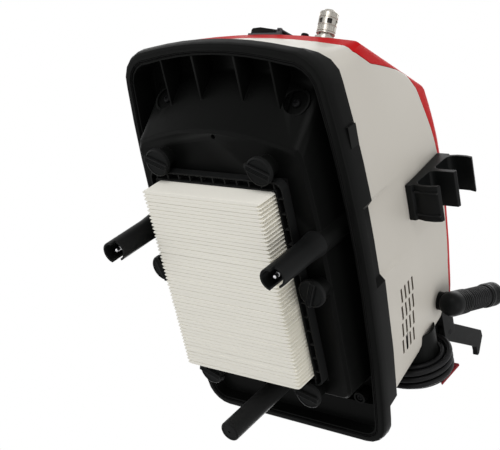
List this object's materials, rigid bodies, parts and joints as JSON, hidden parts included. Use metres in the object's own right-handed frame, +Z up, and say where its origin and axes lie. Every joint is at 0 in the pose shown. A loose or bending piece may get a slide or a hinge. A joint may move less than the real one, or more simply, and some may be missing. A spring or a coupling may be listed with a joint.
{
  "type": "vacuum cleaner head",
  "caption": "Motor and suction head of a wet-and-dry vacuum cleaner, off its container: rim, flat filter, electrode guards, hose, clip and cord on hooks.",
  "frame": {"origin": "middle of the plan on the floor under the feet, cord left out", "axes": "+Z up, -Y to the control panel, +X to the accessory clip and the hose"},
  "size_m": [0.3782, 0.5986, 0.4404],
  "materials": {
    "casing_black": "fine grained black plastic",
    "shell_white": "off-white fine grained plastic",
    "shell_red": "red satin plastic",
    "hook_red": "dark red plastic",
    "filter_paper": "pleated filter paper",
    "black_rubber": "matt black rubber",
    "plain_steel": "plain steel",
    "nickel": "nickel plated",
    "grey_plastic": "grey moulded plastic",
    "winding": "varnished copper winding",
    "board": "green circuit board"
  },
  "bodies": {
    "head": {"base_casing": "casing_black", "electrode_guard_left": "casing_black", "electrode_guard_right": "casing_black", "support_post": "casing_black", "accessory_clip": "casing_black", "hanger_bracket": "casing_black", "cord_gland": "casing_black", "filter_frame": "casing_black", "body_shell": "shell_white", "front_panel": "shell_red", "top_cover": "shell_red", "cable_hook_left": "hook_red", "cable_hook_right": "hook_red", "filter_pleats": "filter_paper", "rim_seal": "black_rubber", "filter_gasket": "black_rubber", "cord_hank": "black_rubber", "cord_lead": "black_rubber", "cord_tail": "black_rubber", "cord_plug": "black_rubber", "motor_mount_ring": "black_rubber", "front_screw_left": "plain_steel", "front_screw_right": "plain_steel", "rear_screw_left": "plain_steel", "rear_screw_right": "plain_steel", "electrode_left": "plain_steel", "electrode_right": "plain_steel", "lid_pin": "plain_steel", "hanger_pin": "plain_steel", "motor_can": "plain_steel", "lower_bearing": "plain_steel", "upper_bearing": "plain_steel", "coupler_body": "nickel", "socket_insert": "grey_plastic", "fan_housing": "grey_plastic", "stator": "winding", "cleaning_magnet": "winding", "control_board": "board"},
    "rotor": {"rotor_shaft": "plain_steel", "impeller": "grey_plastic"},
    "air_sleeve": {"coupler_sleeve": "nickel"},
    "lid": {"socket_lid": "casing_black"},
    "button": {"panel_button": "shell_red"},
    "selector": {"selector_knob": "casing_black"},
    "hose": {"hose_elbow": "casing_black", "suction_hose": "black_rubber", "hose_cuff": "casing_black"},
    "arm": {"hanger_arm": "casing_black"},
    "plunger": {"magnet_plunger": "plain_steel"},
    "knob_1": {"filter_knob_1": "casing_black"},
    "knob_2": {"filter_knob_2": "casing_black"},
    "knob_3": {"filter_knob_3": "casing_black"},
    "knob_4": {"filter_knob_4": "casing_black"},
    "knob_5": {"filter_knob_5": "casing_black"},
    "knob_6": {"filter_knob_6": "casing_black"}
  },
  "joints": [
    {"name": "knob_1_turn", "type": "hinge", "parent": "head", "child": "knob_1", "pos_m": [-0.09888, -0.15832, 0.0786], "axis": [0, 0, 1], "range_deg": [0, 90]},
    {"name": "knob_2_turn", "type": "hinge", "parent": "head", "child": "knob_2", "pos_m": [0.06712, -0.15832, 0.0786], "axis": [0, 0, 1], "range_deg": [0, 90]},
    {"name": "knob_3_turn", "type": "hinge", "parent": "head", "child": "knob_3", "pos_m": [-0.09888, 0.15868, 0.0786], "axis": [0, 0, 1], "range_deg": [0, 90]},
    {"name": "knob_4_turn", "type": "hinge", "parent": "head", "child": "knob_4", "pos_m": [0.06712, 0.15868, 0.0786], "axis": [0, 0, 1], "range_deg": [0, 90]},
    {"name": "knob_5_turn", "type": "hinge", "parent": "head", "child": "knob_5", "pos_m": [-0.13988, 0.00018, 0.0786], "axis": [0, 0, 1], "range_deg": [0, 90]},
    {"name": "knob_6_turn", "type": "hinge", "parent": "head", "child": "knob_6", "pos_m": [0.10812, 0.00018, 0.0786], "axis": [0, 0, 1], "range_deg": [0, 90]},
    {"name": "rotor_spin", "type": "hinge", "parent": "head", "child": "rotor", "pos_m": [-0.01588, 0.02248, 0.146], "axis": [0, 0, 1], "continuous": true},
    {"name": "sleeve_slide", "type": "slide", "parent": "head", "child": "air_sleeve", "axis": [0, -0.8039, 0.5948], "range_m": [-0.002, 0], "stiffness_N_per_m": 500, "springref_m": 0.002},
    {"name": "lid_hinge", "type": "hinge", "parent": "head", "child": "lid", "pos_m": [0.01312, -0.26472, 0.25186], "axis": [0, 0.5948, 0.8039], "range_deg": [0, 100], "stiffness_Nm_per_rad": 0.01},
    {"name": "button_press", "type": "slide", "parent": "head", "child": "button", "axis": [0, -0.8039, 0.5948], "range_m": [-0.001, 0], "stiffness_N_per_m": 300, "springref_m": 0.0005},
    {"name": "selector_turn", "type": "hinge", "parent": "head", "child": "selector", "pos_m": [-0.09088, -0.24823, 0.26017], "axis": [0, -0.8039, 0.5948], "range_deg": [-135, 135]},
    {"name": "hose_swivel", "type": "hinge", "parent": "head", "child": "hose", "pos_m": [0.15212, 0.14648, 0.323], "axis": [1, 0, 0], "range_deg": [-30, 45]},
    {"name": "arm_swing", "type": "hinge", "parent": "head", "child": "arm", "pos_m": [0.11612, 0.21148, 0.344], "axis": [1, 0, 0], "range_deg": [-30, 20]},
    {"name": "plunger_lift", "type": "slide", "parent": "head", "child": "plunger", "axis": [0, 0, 1], "range_m": [0, 0.006], "stiffness_N_per_m": 150}
  ]
}
